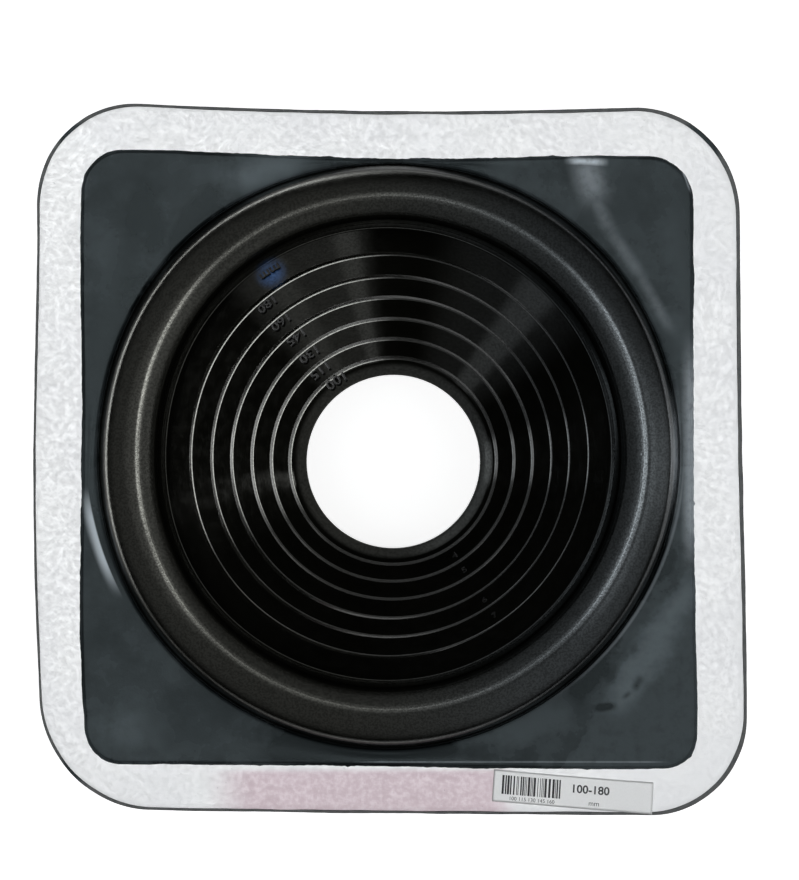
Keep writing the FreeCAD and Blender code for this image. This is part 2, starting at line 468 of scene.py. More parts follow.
def add_cone(rows):
    """Stepped cone from the valley to the rounded tip and into its hole."""
    cone = filleted([
        (NOTCH - 2.0, VALLEY_FLOOR, 0),
        (NOTCH, VALLEY_FLOOR, 0),
        *STEPS,
        (TIP_LIP, TIP_TOP, TIP_ROUND),
        (TIP_HOLE, TIP_TOP, 0.05),
        (TIP_HOLE, TIP_TOP - 2.0, 0),
    ])
    # A row close by keeps the valley a crease
    rows.add(circle(NOTCH + 0.1) + OVAL, VALLEY_FLOOR + 0.11)
    for radius, level in cone[1:]:
        rows.add(circle(radius) + OVAL * oval_share(radius), level)


def add_inside(rows):
    """Inner faces from the tip's bore down to the mouth, a wall's thickness from the outer ones."""
    core_foot = CONE_FOOT - 1.07
    bore_bottom = VALLEY_FLOOR - WALL + CORE_SLOPE * (core_foot - TIP_HOLE)
    inside = filleted([
        (TIP_HOLE, TIP_TOP - 2.0, 0),
        (TIP_HOLE, bore_bottom, 0),
        (core_foot, VALLEY_FLOOR - WALL, 2.9),
        (NOTCH + 0.83, VALLEY_FLOOR - WALL, 3.0),
        (NOTCH + 8.28, CREST_TOP - WALL, 5.6),
        (MOUTH, CREST_TOP - WALL, 11.6),
        (MOUTH, SHEET_BOTTOM + 1.0, 0),
        (MOUTH + 1.0, SHEET_BOTTOM, 0),
    ], 18.0)
    for radius, level in inside[1:]:
        rows.add(circle(radius) + OVAL * oval_share(radius), level)


def add_underside(rows, base):
    """Flat underside of the sheet with its sealing ribs."""
    plain = rounded_square(BASE_HALF, BASE_CORNERS)
    rib = ((2.0, SHEET_BOTTOM), (1.9, 0.5), (1.5, 0.0), (0.5, 0.0), (0.1, 0.5), (0.0, SHEET_BOTTOM))
    rows.add(0.3 * plain + 0.7 * circle(BELLOWS), SHEET_BOTTOM, 0.3, 0.3)
    for inset in RIB_INSETS:
        for off, level in rib:
            rows.add(plain - inset - off, level, 1, 1 - inset / RIB_INSETS[0])
    rows.add(base - 0.5, SHEET_BOTTOM, 1, 1)


def boot_rows():
    """The whole moulding's section, over the top from the lip to the tip and back underneath."""
    rows = Rows()
    edge_noise = ring_noise(3.1, 2.5, 0.16) + ring_noise(8.4, 14.0, 0.45)
    base = rounded_square(BASE_HALF, BASE_CORNERS) + edge_noise * 0.45
    raised = rounded_square(LAND_HALF - LEDGE_WIDTH, [c - LEDGE_WIDTH for c in LAND_CORNERS])
    raised = raised + edge_noise * 0.35
    add_lip_and_pocket(rows, base)
    add_land(rows, raised)
    add_bellows(rows)
    add_cone(rows)
    add_inside(rows)
    add_underside(rows, base)
    return rows


def rubber_boot(material):
    """The moulding as one closed mesh."""
    rows = boot_rows()
    points = rows.points()
    points[..., 2] = np.clip(points[..., 2], 0, TIP_TOP)
    faces = loft_faces(len(rows.radii), ANGLE_COUNT)
    piece = mesh_object("boot", points, faces, material)
    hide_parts("rubber_boot")
    weight_normals(piece)
    return piece


def aluminium_strip(material):
    """Soft aluminium frame: a thin closed section, slightly uneven along its outer edge."""
    rows = Rows()
    outer = rounded_square(BASE_HALF, BASE_CORNERS) - lip_width() - 0.05
    inner = rounded_square(LAND_HALF - CAPTURE + 0.1, [c - CAPTURE for c in LAND_CORNERS])
    seen = 0.78  # share of its width outside the land
    rows.add(outer, POCKET_FLOOR, 1, 1)
    rows.add(outer, STRIP_TOP - 0.12, 1, 1)
    rows.add(outer - 0.12, STRIP_TOP, 1, 1)
    for share in (0.1, 0.25, 0.4, 0.55, 0.7):
        wave = ring_noise(50.0 + share, 18.0, 0.10) * math.sin(math.pi * share)
        rows.add(outer + (inner - outer) * share, STRIP_TOP + wave, 1, 1 - share / seen)
    rows.add(outer + (inner - outer) * seen, STRIP_TOP, 1, 0)
    rows.add(inner, STRIP_TOP, 1, 0)
    rows.add(inner, POCKET_FLOOR, 1, 0)
    faces = loft_faces(len(rows.radii), ANGLE_COUNT)
    piece = mesh_object("aluminium_strip", rows.points(), faces, material)
    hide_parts("aluminium_flange")
    weight_normals(piece)
    return piece


# ---------------------------------------------------------------- marks and label

def text_mesh(name, text, size, depth, bold=0.0):
    """Mesh points and faces of a line of text, centred, extruded by depth each way."""
    curve = bpy.data.curves.new(name, "FONT")
    curve.body = text
    curve.size = size
    curve.extrude = depth
    curve.bevel_depth = depth * 0.35
    curve.offset = bold
    curve.bevel_resolution = 0
    curve.align_x = "CENTER"
    curve.align_y = "CENTER"
    curve.resolution_u = 4
    holder = bpy.data.objects.new(name, curve)
    bpy.context.scene.collection.objects.link(holder)
    depsgraph = bpy.context.evaluated_depsgraph_get()
    mesh = bpy.data.meshes.new_from_object(holder.evaluated_get(depsgraph))
    points = np.array([v.co for v in mesh.vertices], float).reshape(-1, 3)
    faces = [tuple(p.vertices) for p in mesh.polygons]
    bpy.data.objects.remove(holder)
    bpy.data.meshes.remove(mesh)
    return points, faces


def band_point(band, share):
    """Radius and height on a band of the cone, at a share of its width from its outer edge."""
    outer = STEPS[STEP_POINTS * band + 1]
    following = STEP_POINTS * (band + 1)
    inner = STEPS[following] if following < len(STEPS) else (TIP_LIP, TIP_TOP)
    return outer[0] + (inner[0] - outer[0]) * share, outer[1] + (inner[1] - outer[1]) * share


def raised_mark(name, text, band, share, azimuth, size, height, material):
    """Moulded characters wrapped on a band of the cone, with their tops towards the tip."""
    points, faces = text_mesh(name, text, size, height)
    radius, level = band_point(band, share)
    radius += np.interp(math.radians(azimuth % 360), ANGLES, OVAL) * oval_share(radius)
    tilt = math.atan(BAND_SLOPE)
    moved = []
    for u, v, w in points:
        out = radius - v * math.cos(tilt) + w * math.sin(tilt)
        up = level + v * math.sin(tilt) + w * math.cos(tilt)
        angle = math.radians(azimuth) + u / radius
        tall = (up - VALLEY_FLOOR) / (TIP_TOP - VALLEY_FLOOR)
        moved.append((out * math.cos(angle) + LEAN[0] * tall, out * math.sin(angle) + LEAN[1] * tall, up))
    return mesh_object(name, moved, faces, material, smooth=False)


def marks(material):
    """Plain pipe sizes in mm on the bands, and smaller ones in inches across from them."""
    texts = ("mm", "180", "160", "145", "130", "115", "100")
    shares = (0.42, 0.34, 0.34, 0.32, 0.38, 0.36, 0.5)
    azimuths = (123.3, 129.0, 129.0, 128.0, 128.0, 128.5, 124.7)
    for band, (text, share, azimuth) in enumerate(zip(texts, shares, azimuths)):
        raised_mark(f"mark_{text}", text, band, share, azimuth, 5.8, 0.5, material)
    for band, text in zip((1, 2, 4, 5), ("7", "6", "5", "4")):
        raised_mark(f"mark_inch_{text}", text, band, 0.5, -57.0, 3.8, 0.3, material)


LABEL_LENGTH = 63.0
LABEL_HEIGHT = 12.8
LABEL_TILT = math.radians(-4.5)
LABEL_CURL = 0.25
PRINT_DEPTH = 0.006
PRINT_LEVEL = 0.012
LABEL_CENTRE = ((label_low[0] + label_high[0]) / 2, (label_low[1] + label_high[1]) / 2)
LABEL_LEVEL = STRIP_TOP + 0.16


def label_place(points):
    """Turns label points (along, across, above the paper) to their place on the soft strip."""
    points = np.asarray(points, float).reshape(-1, 3)
    c, s = math.cos(LABEL_TILT), math.sin(LABEL_TILT)
    x = LABEL_CENTRE[0] + points[:, 0] * c - points[:, 1] * s
    y = LABEL_CENTRE[1] + points[:, 0] * s + points[:, 1] * c
    angles = np.arctan2(y, x) % (2 * math.pi)
    out = np.clip((np.abs(y) - LAND_HALF) / (BASE_HALF - LAND_HALF), 0, 1)
    shifts = []
    for land, base in zip(LAND_SHIFT, BASE_SHIFT):
        land = np.interp(angles, ANGLES, land, period=2 * math.pi)
        base = np.interp(angles, ANGLES, base, period=2 * math.pi)
        shifts.append(land * (1 - out) + base * out)
    lift = np.interp(angles, ANGLES, LIFT, period=2 * math.pi) * lift_share(x, y)
    curl = LABEL_CURL * np.abs(2 * points[:, 0] / LABEL_LENGTH) ** 14
    return np.stack([x + shifts[0], y + shifts[1], LABEL_LEVEL + points[:, 2] + lift + curl], axis=-1)


def grid_sheet(length, height, centre, top, bottom, columns, lines):
    """Closed thin sheet as a grid of points, for bending: points and faces."""
    along = [centre[0] + (i / columns - 0.5) * length for i in range(columns + 1)]
    across = [centre[1] + (j / lines - 0.5) * height for j in range(lines + 1)]
    points = [(x, y, level) for level in (top, bottom) for y in across for x in along]
    wide = columns + 1
    count = wide * (lines + 1)
    faces = []
    for j in range(lines):
        for i in range(columns):
            a = j * wide + i
            faces.append((a, a + 1, a + 1 + wide, a + wide))
            faces.append((count + a, count + a + wide, count + a + 1 + wide, count + a + 1))
    rim = list(range(wide))
    rim += [j * wide + columns for j in range(1, lines + 1)]
    rim += [lines * wide + i for i in range(columns - 1, -1, -1)]
    rim += [j * wide for j in range(lines - 1, 0, -1)]
    for a, b in zip(rim, rim[1:] + rim[:1]):
        faces.append((a, count + a, count + b, b))
    return points, faces


def printed_text(name, text, size, place, ink, bold=0.0):
    """A line of print on the label, centred at a place along and across it, its strokes grown by bold."""
    points, faces = text_mesh(name, text, size, PRINT_DEPTH, bold)
    points = points + np.array([*place, PRINT_LEVEL])
    return mesh_object(name, label_place(points), faces, ink)


def printed_bars(ink):
    """Plain row of bars of mixed widths, no real code."""
    chance = random.Random(12)
    first, last, height, middle = -28.0, -4.6, 7.6, 0.7
    points = []
    faces = []
    along = first
    while along < last:
        width = chance.choice((0.28, 0.28, 0.56, 0.84))
        bar_points, bar_faces = grid_sheet(width, height, (along + width / 2, middle), 0.018, 0.004, 1, 6)
        faces += [tuple(i + len(points) for i in face) for face in bar_faces]
        points += bar_points
        along += width + chance.choice((0.28, 0.28, 0.42, 0.7))
    return mesh_object("label_bars", label_place(points), faces, ink)


def paper_label(paper, ink):
    """Sticker of thin paper with lifted ends, and its plain print."""
    points, faces = grid_sheet(LABEL_LENGTH, LABEL_HEIGHT, (0, 0), 0.0, -0.10, 64, 14)
    label = mesh_object("label", label_place(points), faces, paper)
    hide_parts("paper_label")
    printed_bars(ink)
    printed_text("label_sizes", "100 115 130 145 160", 2.1, (-16.0, -4.7), ink)
    printed_text("label_range", "100-180", 4.6, (6.8, 1.3), ink, 0.09)
    printed_text("label_unit", "mm", 2.8, (8.5, -4.0), ink)


# ---------------------------------------------------------------- materials

def new_material(name):
    """Material with one principled shader: the material, its tree and the shader."""
    material = bpy.data.materials.new(name)
    material.use_nodes = True
    tree = material.node_tree
    tree.nodes.clear()
    output = tree.nodes.new("ShaderNodeOutputMaterial")
    shader = tree.nodes.new("ShaderNodeBsdfPrincipled")
    tree.links.new(shader.outputs["BSDF"], output.inputs["Surface"])
    return material, tree, shader


def link(tree, source, target):
    """Joins one socket to another."""
    tree.links.new(source, target)


def position(tree):
    """Object coordinates, which are the part's own frame in metres."""
    return tree.nodes.new("ShaderNodeTexCoord").outputs["Object"]


def noise_texture(tree, vector, scale_mm, detail=4.0, roughness=0.5):
    """Noise with patches of about scale_mm."""
    texture = tree.nodes.new("ShaderNodeTexNoise")
    texture.inputs["Scale"].default_value = 1000.0 / scale_mm
    texture.inputs["Detail"].default_value = detail
    texture.inputs["Roughness"].default_value = roughness
    link(tree, vector, texture.inputs["Vector"])
    return texture.outputs["Fac"]


def ramp(tree, value, low, high, to_low=0.0, to_high=1.0, smooth=True):
    """Maps value from one range to another, clamped."""
    mapped = tree.nodes.new("ShaderNodeMapRange")
    mapped.interpolation_type = "SMOOTHSTEP" if smooth else "LINEAR"
    for name, number in (("From Min", low), ("From Max", high), ("To Min", to_low), ("To Max", to_high)):
        mapped.inputs[name].default_value = number
    link(tree, value, mapped.inputs["Value"])
    return mapped.outputs["Result"]


def math_node(tree, operation, *values):
    """Result of one calculation on sockets and numbers."""
    calculated = tree.nodes.new("ShaderNodeMath")
    calculated.operation = operation
    for socket, value in zip(calculated.inputs, values):
        if isinstance(value, (int, float)):
            socket.default_value = value
        else:
            link(tree, value, socket)
    return calculated.outputs[0]


def mix_colour(tree, factor, low, high):
    """Colour between two, by a factor socket; a colour is a tuple or a socket."""
    mixed = tree.nodes.new("ShaderNodeMix")
    mixed.data_type = "RGBA"
    link(tree, factor, mixed.inputs[0])
    for socket, value in ((mixed.inputs[6], low), (mixed.inputs[7], high)):
        if isinstance(value, tuple):
            socket.default_value = (*value, 1.0)
        else:
            link(tree, value, socket)
    return mixed.outputs[2]


def multiply(tree, first, *others):
    """Product of several sockets and numbers."""
    for other in others:
        first = math_node(tree, "MULTIPLY", first, other)
    return first


def bump(tree, height, strength, distance_mm, normal=None):
    """Normal of a fine relief, over a coarser one where given."""
    bumped = tree.nodes.new("ShaderNodeBump")
    bumped.inputs["Strength"].default_value = strength
    bumped.inputs["Distance"].default_value = distance_mm * MM
    link(tree, height, bumped.inputs["Height"])
    if normal is not None:
        link(tree, normal, bumped.inputs["Normal"])
    return bumped.outputs["Normal"]


def axis_parts(tree, where):
    """X, Y and Z sockets of a position."""
    parts = tree.nodes.new("ShaderNodeSeparateXYZ")
    link(tree, where, parts.inputs[0])
    return parts.outputs["X"], parts.outputs["Y"], parts.outputs["Z"]


def along_line(tree, x, y, start, end):
    """Distances beside and along the line between two points (mm), in metres."""
    dx, dy = end[0] - start[0], end[1] - start[1]
    length = math.hypot(dx, dy)
    dx, dy = dx / length, dy / length
    from_x = math_node(tree, "SUBTRACT", x, start[0] * MM)
    from_y = math_node(tree, "SUBTRACT", y, start[1] * MM)
    along = math_node(tree, "ADD", multiply(tree, from_x, dx), multiply(tree, from_y, dy))
    beside = math_node(tree, "SUBTRACT", multiply(tree, from_y, dx), multiply(tree, from_x, dy))
    return beside, along, length * MM


def streak(tree, x, y, start, end, width, fade=12.0):
    """Soft mask along a line between two points, of a width in mm, faded at its ends."""
    beside, along, length = along_line(tree, x, y, start, end)
    side = ramp(tree, math_node(tree, "ABSOLUTE", beside), width / 2 * MM, 0.0)
    first = ramp(tree, along, -fade / 2 * MM, fade / 2 * MM)
    last = ramp(tree, along, length + fade / 2 * MM, length - fade / 2 * MM)
    return multiply(tree, side, first, last)


def distance(tree, x, y, centre=(0.0, 0.0)):
    """Distance on the plan from a centre, in metres."""
    from_x = math_node(tree, "SUBTRACT", x, centre[0] * MM)
    from_y = math_node(tree, "SUBTRACT", y, centre[1] * MM)
    squares = math_node(tree, "ADD", multiply(tree, from_x, from_x), multiply(tree, from_y, from_y))
    return math_node(tree, "SQRT", squares)


def apart(tree, value, place_mm):
    """How far a distance is from a place."""
    return math_node(tree, "ABSOLUTE", math_node(tree, "SUBTRACT", value, place_mm * MM))


def mixed_value(tree, factor, low, high):
    """Number between two, by a factor socket; each is a number or a socket."""
    mixed = tree.nodes.new("ShaderNodeMix")
    mixed.data_type = "FLOAT"
    link(tree, factor, mixed.inputs[0])
    for socket, value in ((mixed.inputs[2], low), (mixed.inputs[3], high)):
        if isinstance(value, (int, float)):
            socket.default_value = value
        else:
            link(tree, value, socket)
    return mixed.outputs[0]


def shifted(tree, value, texture, amount_mm):
    """Distance with a noise texture's wander added."""
    wander = math_node(tree, "MULTIPLY", math_node(tree, "SUBTRACT", texture, 0.5), amount_mm * MM)
    return math_node(tree, "ADD", value, wander)


# Marks on the base's film of dust: start, end, width and fade in mm, and strength, which is below zero where
# it is wiped clean. Marks wider than a finger's follow the dust's own wander.
FINGER_WIDTH = 6.0
HAZE = (
    ((-62.0, 110.0), (-34.0, 116.0), 18.0, 16.0, 0.5),
    ((120.0, -50.0), (90.0, -98.0), 16.0, 14.0, 0.38),
    ((112.0, -34.0), (74.0, -96.0), 12.0, 12.0, -0.3),
    ((108.0, 104.0), (116.0, 44.0), 22.0, 40.0, 0.16),
    ((-112.0, -96.0), (-92.0, -114.0), 26.0, 26.0, 0.16),
    ((-104.0, 60.0), (-96.0, 106.0), 24.0, 20.0, -0.2),
    ((-46.0, -117.0), (20.0, -119.0), 16.0, 24.0, -0.4),
    ((-86.0, 80.0), (-68.0, 104.0), 14.0, 12.0, -0.3),
    ((82.0, -101.2), (89.0, -100.0), 5.0, 4.0, -0.45),
    ((92.6, -97.0), (95.0, -95.0), 3.2, 3.0, -0.4),
    ((97.0, -93.6), (99.4, -88.6), 5.0, 3.0, -0.4),
)
# Blue spot of ink on the lowest band of the cone
STAMP_PLACE = (-46.2, 70.4)
STAMP_RADIUS = 7.6
# Bright painted highlights on the base, lamp reflections drawn into its colour: start, end, width and fade
# in mm, and strength
PAINTED_HIGHLIGHTS = (
    ((71.0, 115.4), (84.0, 114.8), 4.5, 6.0, 0.95),
    ((76.0, 116.0), (81.0, 101.0), 18.0, 14.0, 0.32),
    ((79.0, 104.0), (87.5, 87.0), 9.0, 12.0, 0.15),
    ((87.5, 87.0), (99.0, 70.0), 8.0, 12.0, 0.14),
    ((99.0, 70.0), (110.5, 49.5), 7.0, 12.0, 0.13),
    ((115.6, 111.0), (118.2, 104.0), 1.4, 5.0, 0.45),
    ((119.0, 36.0), (119.4, -36.0), 10.0, 30.0, 0.46),
    ((112.6, 14.0), (112.8, -14.0), 8.0, 34.0, 0.42),
    ((-10.0, -122.3), (106.0, -122.5), 1.1, 12.0, 0.22),
)


def dust_mask(tree, x, y, cloud, patch, fine):
    """Dust on the base: thin clouds, a thicker film with a torn edge in the +X-Y corner, handled places."""
    corner = shifted(tree, math_node(tree, "SUBTRACT", x, multiply(tree, y, 0.64)), patch, 16.0)
    film = multiply(tree, ramp(tree, corner, 144.5 * MM, 148.0 * MM), ramp(tree, x, 55.0 * MM, 75.0 * MM),
                    ramp(tree, fine, 0.2, 0.6, 0.15, 0.24))
    dust = multiply(tree, ramp(tree, cloud, 0.36, 0.66, 0.3, 1.0), ramp(tree, patch, 0.30, 0.62, 0.06, 0.26))
    dust = math_node(tree, "MAXIMUM", dust, film)
    worn_x = shifted(tree, x, patch, 20.0)
    worn_y = shifted(tree, y, cloud, 24.0)
    for start, end, width, fade, strength in HAZE:
        at = (x, y) if width < FINGER_WIDTH else (worn_x, worn_y)
        mark = streak(tree, *at, start, end, width, fade)
        dust = math_node(tree, "ADD", dust, multiply(tree, mark, strength))
    return ramp(tree, dust, 0.0, 1.0, smooth=False)


def painted_highlight_mask(tree, x, y, around, fine):
    """Pale painted highlights: the marks listed above, a thin painted highlight line in the bellows' foot
    and a painted highlight wedge beside it at -X.
    """
    painted_highlight = 0.0
    for start, end, width, fade, strength in PAINTED_HIGHLIGHTS:
        mark = multiply(tree, streak(tree, x, y, start, end, width, fade), strength)
        painted_highlight = math_node(tree, "MAXIMUM", painted_highlight, mark)
    flank = ramp(tree, around, 105.28 * MM, 112.0 * MM)
    painted_highlight = multiply(tree, painted_highlight, flank, ramp(tree, fine, 0.2, 0.6, 0.6, 1.0))
    trace = multiply(tree, ramp(tree, apart(tree, around, 116.4), 1.0 * MM, 0.1 * MM, 0.0, 0.16),
                     ramp(tree, x, 55.0 * MM, 95.0 * MM), ramp(tree, y, 14.0 * MM, -8.0 * MM))
    seam = 119.8
    wedge = multiply(tree, ramp(tree, around, (seam - 0.3) * MM, (seam + 0.3) * MM),
                     ramp(tree, around, (seam + 4.2) * MM, (seam + 0.6) * MM),
                     ramp(tree, x, -84.0 * MM, -98.0 * MM),
                     ramp(tree, y, -12.0 * MM, -27.0 * MM), ramp(tree, y, -58.0 * MM, -40.0 * MM))
    return math_node(tree, "MAXIMUM", painted_highlight, math_node(tree, "MAXIMUM", trace, wedge))


def rubber_material():
    """Black EPDM: glossy on the cone, softer on the bellows, hazy on the base, lighter grey at the lip."""
    material, tree, shader = new_material("black_rubber")
    where = position(tree)
    x, y, z = axis_parts(tree, where)
    cloud = noise_texture(tree, where, 42.0, 3.0, 0.6)
    patch = noise_texture(tree, where, 17.0, 4.0, 0.6)
    fine = noise_texture(tree, where, 4.0, 3.0, 0.65)
    grain = noise_texture(tree, where, 0.8, 1.0, 0.6)

    # Where things are: base, bellows, faces that don't look down, lip and the crest's two rubbed sides
    around = distance(tree, x, y)
    outside = ramp(tree, around, 119.56 * MM, 122.0 * MM)
    base = math_node(tree, "MAXIMUM", ramp(tree, z, 6.8 * MM, 5.2 * MM), outside)
    bellows = ramp(tree, around, 89.24 * MM, 92.0 * MM)
    normal = tree.nodes.new("ShaderNodeTexCoord").outputs["Normal"]
    upper = ramp(tree, axis_parts(tree, normal)[2], -0.3, -0.1)
    edge = math_node(tree, "MAXIMUM", math_node(tree, "ABSOLUTE", x), math_node(tree, "ABSOLUTE", y))
    lip = multiply(tree, ramp(tree, edge, 128.0 * MM, 131.0 * MM), ramp(tree, z, 2.2 * MM, 3.0 * MM))
    rubbed = multiply(tree, ramp(tree, apart(tree, around, CREST), 5.5 * MM, 0.8 * MM),
                      ramp(tree, math_node(tree, "ABSOLUTE", x), 60.0 * MM, 92.0 * MM))

    dust = multiply(tree, dust_mask(tree, x, y, cloud, patch, fine), base)
    # Painted highlights: pale reflections of the lamps drawn on the base and the bellows' foot, only on
    # faces that don't look down
    painted_highlight = multiply(tree, painted_highlight_mask(tree, x, y, around, fine), upper)
    stamp = ramp(tree, distance(tree, x, y, STAMP_PLACE), STAMP_RADIUS * MM, 0.0)
    stamp = multiply(tree, stamp, ramp(tree, z, 14.0 * MM, 18.0 * MM), upper,
                     ramp(tree, grain, 0.3, 0.6, 0.5, 1.0))
    lip_grey = multiply(tree, lip, ramp(tree, fine, 0.25, 0.6, 0.5, 1.0))

    clean = mix_colour(tree, ramp(tree, cloud, 0.3, 0.7), (0.0012, 0.0012, 0.0008), (0.0022, 0.0022, 0.0016))
    colour = mix_colour(tree, base, clean, (0.0022, 0.0036, 0.0042))
    colour = mix_colour(tree, dust, colour, (0.20, 0.24, 0.26))
    # Bluish white colour of the painted highlights
    colour = mix_colour(tree, painted_highlight, colour, (0.80, 0.88, 0.95))
    colour = mix_colour(tree, stamp, colour, (0.030, 0.095, 0.26))
    # Lighter, mottled grey on the top of the base's outer lip
    colour = mix_colour(tree, lip_grey, colour, (0.15, 0.148, 0.145))
    link(tree, colour, shader.inputs["Base Color"])

    # The gloss is grainy everywhere, and higher where the crest is rubbed
    gloss = multiply(tree, ramp(tree, grain, 0.36, 0.62, 0.38, 0.62), ramp(tree, rubbed, 0.0, 1.0, 1.0, 2.1))
    link(tree, mixed_value(tree, base, gloss, 0.22), shader.inputs["Specular IOR Level"])
    # Reflections tinted warm towards -X, cool towards +X and on the base: painted colour of the light
    # falling from each side
    painted_reflection_tint = mix_colour(tree, ramp(tree, x, -30.0 * MM, 80.0 * MM), (1.0, 1.0, 0.90), (0.86, 0.95, 1.0))
    link(tree, mix_colour(tree, base, painted_reflection_tint, (0.80, 0.96, 1.0)), shader.inputs["Specular Tint"])

    rough_cone = ramp(tree, fine, 0.3, 0.7, 0.07, 0.12)
    rough_bellows = multiply(tree, ramp(tree, fine, 0.3, 0.7, 0.19, 0.26),
                             ramp(tree, rubbed, 0.0, 1.0, 1.0, 0.7))
    rough = mixed_value(tree, bellows, rough_cone, rough_bellows)
    rough_base = mixed_value(tree, dust, 0.24, 0.50)
    link(tree, mixed_value(tree, base, rough, rough_base), shader.inputs["Roughness"])

    waves = bump(tree, noise_texture(tree, where, 24.0, 1.0), 0.22, 0.35)
    ripples = bump(tree, multiply(tree, fine, ramp(tree, bellows, 0.0, 1.0, 0.4, 1.6)), 0.10, 0.06, waves)
    speckle = multiply(tree, grain, ramp(tree, bellows, 0.0, 1.0, 0.4, 3.0))
    link(tree, bump(tree, speckle, 0.25, 0.04, ripples), shader.inputs["Normal"])
    return material


def aluminium_material():
    """Soft rolled aluminium with a dull white sheen, faint rolling grain, specks and a rosy tint along part
    of its bottom side.
    """
    material, tree, shader = new_material("soft_aluminium")
    where = position(tree)
    x, y, z = axis_parts(tree, where)
    cloud = noise_texture(tree, where, 30.0, 4.0, 0.6)
    fine = noise_texture(tree, where, 2.0, 5.0, 0.7)
    specks = noise_texture(tree, where, 1.1, 2.0, 0.5)
    shader.inputs["Metallic"].default_value = 0.85
    colour = mix_colour(tree, ramp(tree, cloud, 0.3, 0.7), (0.93, 0.93, 0.94), (0.97, 0.97, 0.97))
    wander = shifted(tree, x, cloud, 12.0)
    # Rosy tint along part of the bottom strip
    rosy = multiply(tree,
                    ramp(tree, wander, -76.0 * MM, -52.0 * MM), ramp(tree, wander, 52.0 * MM, 40.0 * MM),
                    ramp(tree, y, -124.0 * MM, -127.5 * MM), ramp(tree, fine, 0.30, 0.60, 0.68, 0.85))
    colour = mix_colour(tree, rosy, colour, (0.70, 0.55, 0.60))
    dirt = multiply(tree, ramp(tree, specks, 0.70, 0.76), ramp(tree, cloud, 0.40, 0.60, 0.0, 0.35))
    colour = mix_colour(tree, dirt, colour, (0.30, 0.30, 0.32))
    link(tree, colour, shader.inputs["Base Color"])
    link(tree, ramp(tree, fine, 0.3, 0.7, 0.38, 0.52), shader.inputs["Roughness"])
    dents = bump(tree, cloud, 0.2, 0.3)
    link(tree, bump(tree, fine, 0.1, 0.05, dents), shader.inputs["Normal"])
    return material


def mark_material():
    """Moulded characters: the same rubber, dull as their cut in the mould leaves it."""
    material, _, shader = new_material("dull_rubber")
    shader.inputs["Base Color"].default_value = (0.0010, 0.0010, 0.0008, 1.0)
    shader.inputs["Roughness"].default_value = 0.42
    shader.inputs["Specular IOR Level"].default_value = 0.22
    return material


def paper_material():
    """White label stock with a light metallic sheen."""
    material, tree, shader = new_material("label_paper")
    where = position(tree)
    fibre = noise_texture(tree, where, 0.8, 4.0, 0.6)
    colour = mix_colour(tree, ramp(tree, fibre, 0.3, 0.7), (0.95, 0.95, 0.95), (0.98, 0.98, 0.98))
    link(tree, colour, shader.inputs["Base Color"])
    shader.inputs["Metallic"].default_value = 0.4
    shader.inputs["Roughness"].default_value = 0.42
    link(tree, bump(tree, fibre, 0.1, 0.02), shader.inputs["Normal"])
    return material


def ink_material():
    """Dull black print."""
    material, _, shader = new_material("label_ink")
    shader.inputs["Base Color"].default_value = (0.035, 0.035, 0.038, 1.0)
    shader.inputs["Roughness"].default_value = 0.6
    return material


def floor_material():
    """White ground that keeps a faint shadow."""
    material, tree, shader = new_material("white_floor")
    shader.inputs["Base Color"].default_value = (0.92, 0.92, 0.92, 1.0)
    shader.inputs["Roughness"].default_value = 0.9
    shader.inputs["Specular IOR Level"].default_value = 0.0
    rays = tree.nodes.new("ShaderNodeLightPath")
    seen = math_node(tree, "MAXIMUM", rays.outputs["Is Camera Ray"], rays.outputs["Is Glossy Ray"])
    seen = math_node(tree, "MAXIMUM", seen, rays.outputs["Is Transmission Ray"])
    shader.inputs["Emission Color"].default_value = (1.0, 1.0, 1.0, 1.0)
    link(tree, multiply(tree, seen, 0.85), shader.inputs["Emission Strength"])
    return material


# ---------------------------------------------------------------- stage, lights, camera

HORIZON = 0.005
AROUND = 0.38
OVERHEAD = 1.2
# Bright openings of the surroundings: azimuth, half width and its softness in degrees,
# lowest and highest place as the sine of the elevation, strength
OPENINGS = (
    # Seen in the bands of the cone
    (101.0, 2.0, 2.5, -0.03, 0.23, 0.30),
    (123.0, 3.0, 3.0, -0.03, 0.23, 0.20),
    (115.0, 18.0, 5.0, -0.03, 0.23, 0.22),
    (45.5, 2.5, 4.5, -0.03, 0.23, 0.34),
    (52.0, 16.0, 10.0, -0.03, 0.23, 0.11),
    (192.0, 2.0, 3.0, 0.16, 0.20, 4.0),
    # Seen in the edges of its rings
    (150.0, 50.0, 14.0, -0.35, -0.05, 9.0),
    (0.0, 8.0, 6.0, -0.35, -0.05, 2.6),
    (0.0, 170.0, 9.0, -0.35, -0.05, 0.45),
    # Seen in the bellows
    (178.0, 24.0, 16.0, 0.995, 1.1, 12.0),
    (-2.0, 12.0, 12.0, 0.995, 1.1, 11.0),
    (-30.0, 40.0, 16.0, 0.40, 0.85, 0.35),
    (-3.0, 8.0, 8.0, 0.25, 0.75, 0.9),
)


FLOOR_HALF = 190.0 * MM
FLOOR_LEVEL = -0.1 * MM


def floor(material):
    """Small ground under the part; what lies beyond it is the backdrop."""
    mesh = bpy.data.meshes.new("floor")
    quarters = ((-1, -1), (1, -1), (1, 1), (-1, 1))
    corners = [(FLOOR_HALF * x, FLOOR_HALF * y, FLOOR_LEVEL) for x, y in quarters]
    mesh.from_pydata(corners, [], [(0, 1, 2, 3)])
    piece = bpy.data.objects.new("floor", mesh)
    bpy.context.scene.collection.objects.link(piece)
    mesh.materials.append(material)


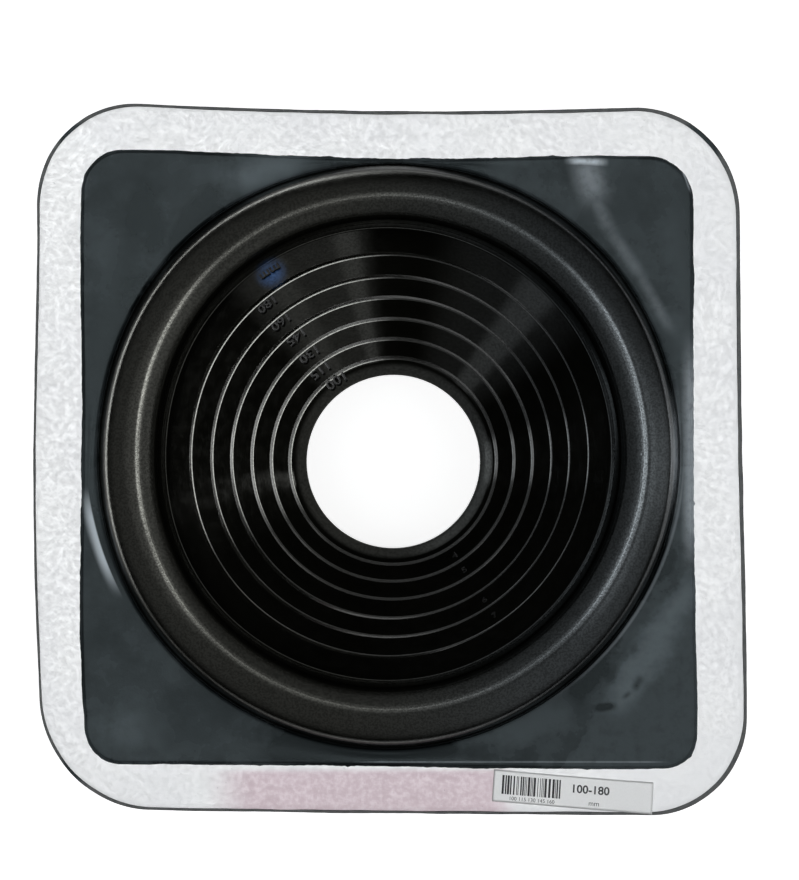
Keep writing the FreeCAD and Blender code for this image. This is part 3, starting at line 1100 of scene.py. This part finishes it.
def opening(tree, east, north, up, level, azimuth, half, soft, low, high, power):
    """Strength that one opening of the surroundings adds in a direction."""
    aim = (math.cos(math.radians(azimuth)), math.sin(math.radians(azimuth)))
    facing = math_node(tree, "ADD", multiply(tree, east, aim[0]), multiply(tree, north, aim[1]))
    facing = math_node(tree, "DIVIDE", facing, level)
    lobe = ramp(tree, facing, math.cos(math.radians(half + soft)), math.cos(math.radians(half - soft)))
    above = ramp(tree, up, low - 0.03, low + 0.03)
    below = ramp(tree, up, high + 0.04, high - 0.02)
    return multiply(tree, lobe, above, below, power)


def world():
    """Studio surroundings: bright overhead, dark towards the horizon, with lit openings in them."""
    surroundings = bpy.data.worlds.new("studio")
    bpy.context.scene.world = surroundings
    surroundings.use_nodes = True
    tree = surroundings.node_tree
    tree.nodes.clear()
    output = tree.nodes.new("ShaderNodeOutputWorld")
    east, north, up = axis_parts(tree, tree.nodes.new("ShaderNodeTexCoord").outputs["Generated"])
    level = math_node(tree, "SUBTRACT", 1.0, multiply(tree, up, up))
    level = math_node(tree, "SQRT", math_node(tree, "MAXIMUM", level, 1e-4))
    strength = math_node(tree, "ADD", ramp(tree, up, 0.26, 0.72, HORIZON, AROUND),
                         ramp(tree, up, 0.90, 0.998, 0.0, OVERHEAD - AROUND))
    for place in OPENINGS:
        strength = math_node(tree, "ADD", strength, opening(tree, east, north, up, level, *place))
    lit = tree.nodes.new("ShaderNodeBackground")
    lit.inputs["Color"].default_value = (0.97, 0.99, 1.0, 1.0)
    link(tree, strength, lit.inputs["Strength"])
    white = tree.nodes.new("ShaderNodeBackground")
    white.inputs["Color"].default_value = (1.0, 1.0, 1.0, 1.0)
    rays = tree.nodes.new("ShaderNodeLightPath")
    mixed = tree.nodes.new("ShaderNodeMixShader")
    link(tree, rays.outputs["Is Camera Ray"], mixed.inputs[0])
    link(tree, lit.outputs[0], mixed.inputs[1])
    link(tree, white.outputs[0], mixed.inputs[2])
    link(tree, mixed.outputs[0], output.inputs["Surface"])


CAMERA_PLACE = Vector((-9.9, 25.4, 900.0)) * MM
CAMERA_TARGET = Vector((3.8, 5.2, 0.0)) * MM
LENS = 102.2


def camera():
    """Nearly overhead, a little towards the far left, and aimed at the middle of the part."""
    view = bpy.data.cameras.new("camera")
    view.sensor_width = 36.0
    view.lens = LENS
    view.sensor_fit = "HORIZONTAL"
    view.clip_end = 20.0
    eye = bpy.data.objects.new("camera", view)
    bpy.context.scene.collection.objects.link(eye)
    forward = (CAMERA_TARGET - CAMERA_PLACE).normalized()
    right = forward.cross(Vector((0, 1, 0))).normalized()
    up = right.cross(forward)
    eye.location = CAMERA_PLACE
    eye.rotation_euler = Matrix((right, up, -forward)).transposed().to_euler()
    bpy.context.scene.camera = eye


# ---------------------------------------------------------------- build

def main():
    """Builds the part, the ground, the surroundings and the camera."""
    rubber_boot(rubber_material())
    aluminium_strip(aluminium_material())
    marks(mark_material())
    paper_label(paper_material(), ink_material())
    floor(floor_material())
    world()
    camera()
    bpy.context.scene.view_settings.view_transform = "Standard"


main()
